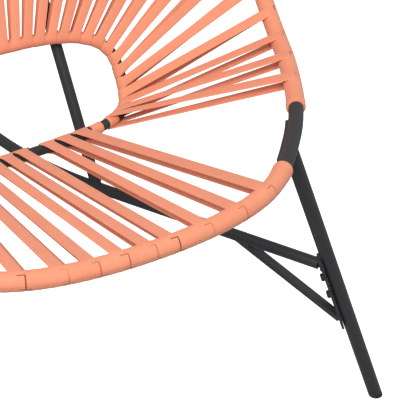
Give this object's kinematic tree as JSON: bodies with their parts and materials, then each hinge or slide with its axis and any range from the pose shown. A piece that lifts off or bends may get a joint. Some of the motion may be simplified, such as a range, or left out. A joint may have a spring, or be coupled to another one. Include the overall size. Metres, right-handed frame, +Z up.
{
  "type": "acapulco chair",
  "caption": "Outdoor lounge chair: an egg-shaped bent tube hoop with flat woven straps laced to an oblong inner ring, on slim black steel tube legs joined by a low bar.",
  "frame": {"origin": "on the floor, below the middle of the chair's outer size in plan", "axes": "+Z up, -Y towards the front where the sitter's legs hang, +X to the right as seen from the front"},
  "size_m": [0.8202, 0.794, 0.856],
  "materials": {
    "strap": "flat woven strap, coral",
    "powder_coat": "charcoal powder coat, satin",
    "bolt": "black coated bolt",
    "rubber": "black moulded rubber"
  },
  "bodies": {
    "root": {"seat_strap_01": "strap", "seat_strap_02": "strap", "seat_strap_03": "strap", "seat_strap_04": "strap", "seat_strap_05": "strap", "seat_strap_06": "strap", "seat_strap_07": "strap", "seat_strap_08": "strap", "seat_strap_09": "strap", "back_straps_01": "strap", "back_straps_02": "strap", "back_straps_03": "strap", "back_straps_04": "strap", "back_straps_05": "strap", "back_straps_06": "strap", "back_straps_07": "strap", "back_straps_08": "strap", "back_straps_09": "strap", "back_straps_10": "strap", "back_straps_11": "strap", "back_straps_12": "strap", "back_straps_13": "strap", "back_straps_14": "strap", "back_straps_15": "strap", "back_straps_16": "strap", "back_straps_17": "strap", "back_straps_18": "strap", "back_straps_19": "strap", "seat_wrap_end_right": "strap", "seat_wrap_end_left": "strap", "back_wrap_end_right": "strap", "back_wrap_end_left": "strap", "hoop_tube": "powder_coat", "inner_ring": "powder_coat", "base_bar": "powder_coat", "rear_leg": "powder_coat", "leg_plate_rear": "powder_coat", "front_leg_right": "powder_coat", "saddle_right": "powder_coat", "leg_plate_right": "powder_coat", "brace_right": "powder_coat", "strut_right": "powder_coat", "front_leg_left": "powder_coat", "saddle_left": "powder_coat", "leg_plate_left": "powder_coat", "brace_left": "powder_coat", "strut_left": "powder_coat", "plate_bolt_rear_1": "bolt", "plate_bolt_rear_2": "bolt", "plate_bolt_right_1": "bolt", "plate_bolt_right_2": "bolt", "plate_bolt_left_1": "bolt", "plate_bolt_left_2": "bolt", "rear_leg_plug": "rubber", "foot_cap_rear": "rubber", "foot_cap_right": "rubber", "foot_cap_left": "rubber"}
  },
  "joints": []
}
